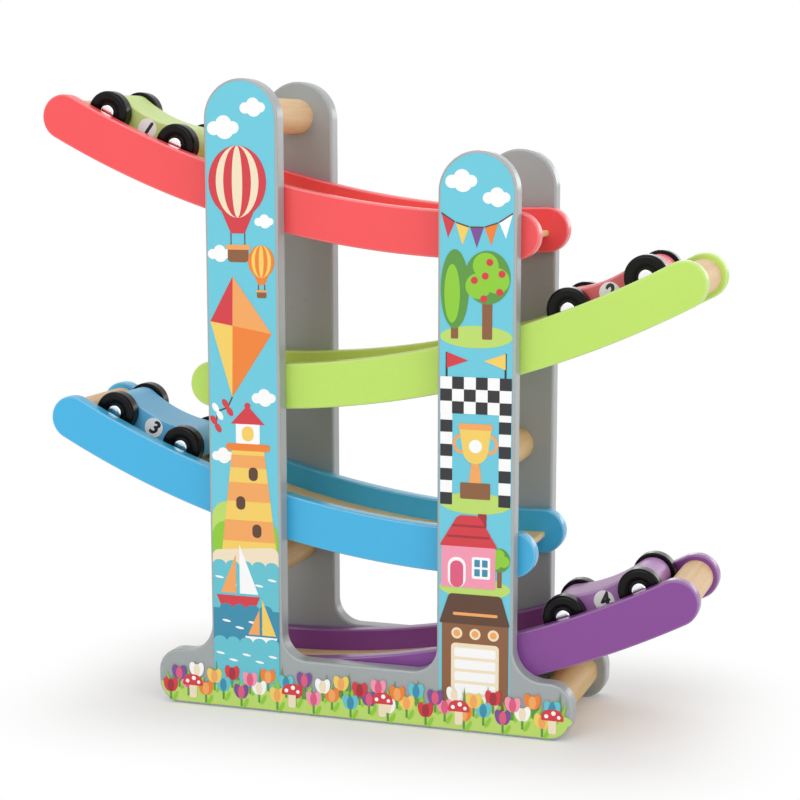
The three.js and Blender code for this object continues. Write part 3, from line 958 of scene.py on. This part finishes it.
def number_print(figure, side_face):
    """The number disc for the front of a car, in films on the side face.

    Some nudged copies of the figure make it bold.
    """
    sheet = bmesh.new()
    layer = sheet.loops.layers.float_color.new("Ink")
    text = bpy.data.curves.new("number", "FONT")
    text.body = figure
    text.size = number_height
    text.shear = number_slant
    text.align_x = "CENTER"
    text.align_y = "CENTER"
    writing = bpy.data.objects.new("number", text)
    bpy.context.scene.collection.objects.link(writing)
    bpy.context.view_layer.update()
    drawn = writing.evaluated_get(bpy.context.evaluated_depsgraph_get())
    shaped = bpy.data.meshes.new_from_object(drawn)
    upright = Matrix.Translation((0, -side_face - 2 * film, 0)) @ Matrix.Rotation(math.pi / 2, 4, "X")
    shaped.transform(upright)
    nudges = (
        (0, 0), (number_bold, 0), (-2 * number_bold, 0),
        (number_bold, number_bold), (0, -2 * number_bold),
    )
    for across, up in nudges:
        shaped.transform(Matrix.Translation((across, -film, up)))
        sheet.from_mesh(shaped)
    dye(sheet.faces, layer, BLACK)
    ground = bmesh.ops.create_circle(
        sheet, cap_ends=True, segments=48, radius=number_disc, matrix=upright,
    )
    dye(ground["verts"][0].link_faces, layer, WHITE)
    bpy.data.objects.remove(writing)
    bpy.data.curves.remove(text)
    bpy.data.meshes.remove(shaped)
    return sheet


wheel_black = wheel_plastic("wheel_black_plastic")
hub_metal = bright_metal("hub_bright_metal")
half_turn = Matrix.Rotation(math.pi, 4, "Z")
underside = Matrix.Rotation(math.pi, 4, "X")
for car in ramp_cars.values():
    lead = joint_places[f"{car}_lead_spin"]
    tail = joint_places[f"{car}_tail_spin"]
    left, right = sorted((lead, tail), key=lambda place: place.x)
    along = (right - left).normalized()
    upward = along.cross(Vector((0, 1, 0)))
    stand = Matrix((along, (0, 1, 0), upward)).transposed().to_4x4()
    stand.translation = (left + right) / 2

    node = f"{car}_body"
    side_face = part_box(node)[1].y
    # The last figure is the strength of the painted highlight on the body's rims.
    body_paint = sprayed_paint(f"{car}_gloss_paint", car_paints[car], 0.4, 0.1, 0.25)
    body = move(car_body((right - left).length / 2, 2 * side_face), stand)
    add_piece(f"{car}_painted_body", body, body_paint, car, f"{car}_paint", node)

    for where, turn in (("front", Matrix.Identity(4)), ("back", half_turn)):
        number = move(number_print(car[-1], side_face), stand @ turn)
        add_print(f"{car}_{where}_number", number, car, f"{car}_paint")

    for end, place in (("lead", lead), ("tail", tail)):
        wheels = f"{car}_{end}_wheels"
        seat = stand.copy()
        seat.translation = place
        node = f"{car}_{end}_axle"
        rod = move(axle(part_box(node)[1].y), seat)
        add_piece(f"{node}_rod", rod, hub_metal, wheels, "hub_metal", node)
        for where, turn in (("front", underside), ("back", Matrix.Identity(4))):
            node = f"{car}_{end}_{where}_wheel"
            low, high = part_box(node)
            inner, outer = sorted((abs(low.y), abs(high.y)))
            tyre = move(wheel(inner, outer), seat @ turn)
            add_piece(f"{node}_tyre", tyre, wheel_black, wheels, "wheel_black", node)


# The studio: a plain pale floor that fades to white, a white surround, and soft lamps.
# A long lamp far behind the track puts a light edge on the rounded rims.
# The camera stands to the right of the front panel and looks slightly down.

floor_reach = 6
fade_reach = 0.1
least_white = 0.1
shade_shift = 7 * MM
floor_sheet = bmesh.new()
bmesh.ops.create_grid(floor_sheet, x_segments=1, y_segments=1, size=floor_reach)
floor_mesh = bpy.data.meshes.new("studio_floor")
floor_sheet.to_mesh(floor_mesh)
floor_sheet.free()
floor = bpy.data.objects.new("studio_floor", floor_mesh)
bpy.context.scene.collection.objects.link(floor)


def seen_rays(paint):
    """One on rays that show the surround itself: from the camera, in gloss and through glass."""
    straight, gloss, through = [
        paint.node("ShaderNodeLightPath", output=f"Is {kind} Ray")
        for kind in ("Camera", "Glossy", "Transmission")
    ]
    return paint.math("MINIMUM", straight + gloss + through, 1)


floor_paint, paint = new_material("studio_floor_paint")
place = paint.node("ShaderNodeTexCoord", output="Object")
footprint = (foot_end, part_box("back_panel")[1].y, 0)
shade = (panel_middle + shade_shift, 0, 0)
offset = paint.node("ShaderNodeVectorMath", {"operation": "SUBTRACT"}, {0: place, 1: shade})
aside = paint.node("ShaderNodeVectorMath", {"operation": "ABSOLUTE"}, {0: offset})
beyond = paint.node("ShaderNodeVectorMath", {"operation": "SUBTRACT"}, {0: aside, 1: footprint})
outside = paint.node("ShaderNodeVectorMath", {"operation": "MAXIMUM"}, {0: beyond, 1: (0, 0, 0)})
distance = paint.node("ShaderNodeVectorMath", {"operation": "LENGTH"}, {0: outside}, output="Value")
fade = paint.node(
    "ShaderNodeMapRange",
    {"interpolation_type": "SMOOTHSTEP"},
    {0: distance, 1: 0, 2: fade_reach, 3: least_white, 4: 1},
)
matt = paint.node("ShaderNodeBsdfDiffuse", inputs={"Color": (0.94, 0.937, 0.93, 1)})
white = paint.node("ShaderNodeEmission", inputs={"Color": (1, 1, 1, 1), "Strength": 1})
surface = paint.node("ShaderNodeMixShader", inputs={0: fade * seen_rays(paint), 1: matt, 2: white})
paint.node("ShaderNodeOutputMaterial", inputs={"Surface": surface})
floor_mesh.materials.append(floor_paint)

studio = bpy.data.worlds.new("studio")
studio.use_nodes = True
studio.node_tree.nodes.clear()
air = Socket(studio.node_tree)
glow = air.node("ShaderNodeBackground", inputs={"Color": (1, 1, 1, 1), "Strength": 0.7})
surround = air.node("ShaderNodeBackground", inputs={"Color": (1, 1, 1, 1), "Strength": 1})
sky = air.node("ShaderNodeMixShader", inputs={0: seen_rays(air), 1: glow, 2: surround})
air.node("ShaderNodeOutputWorld", inputs={"Surface": sky})
bpy.context.scene.world = studio

middle = Vector((0, 0, 0.15))
for name, place, width, height, power in (
    ("key_softbox", (-0.2, -1.35, 1), 0.9, 0.9, 4.9),
    ("side_softbox", (1.6, -0.75, 0.55), 1.6, 1.6, 7),
    ("top_softbox", (-0.2, 0.2, 1.5), 0.8, 0.8, 2.2),
    ("rim_softbox", (0.8, 5.5, 0.83), 5, 0.98, 29),
):
    lamp = bpy.data.lights.new(name, "AREA")
    lamp.shape = "RECTANGLE"
    lamp.size = width
    lamp.size_y = height
    lamp.energy = power
    stand = bpy.data.objects.new(name, lamp)
    stand.location = place
    stand.rotation_euler = (middle - Vector(place)).to_track_quat("-Z", "Y").to_euler()
    stand.visible_camera = False
    bpy.context.scene.collection.objects.link(stand)

lens = bpy.data.cameras.new("camera")
lens.lens = 85.3
lens.sensor_width = 36
lens.shift_y = 0.0624
camera = bpy.data.objects.new("camera", lens)
azimuth = math.radians(18.5)
tilt = math.radians(9.58)
camera.location = (0.2912, -0.8414, 0.2722)
level = math.cos(tilt)
ahead = Vector((-math.sin(azimuth) * level, math.cos(azimuth) * level, -math.sin(tilt)))
camera.rotation_euler = ahead.to_track_quat("-Z", "Y").to_euler()
bpy.context.scene.collection.objects.link(camera)
bpy.context.scene.camera = camera
bpy.context.scene.view_settings.view_transform = "Standard"
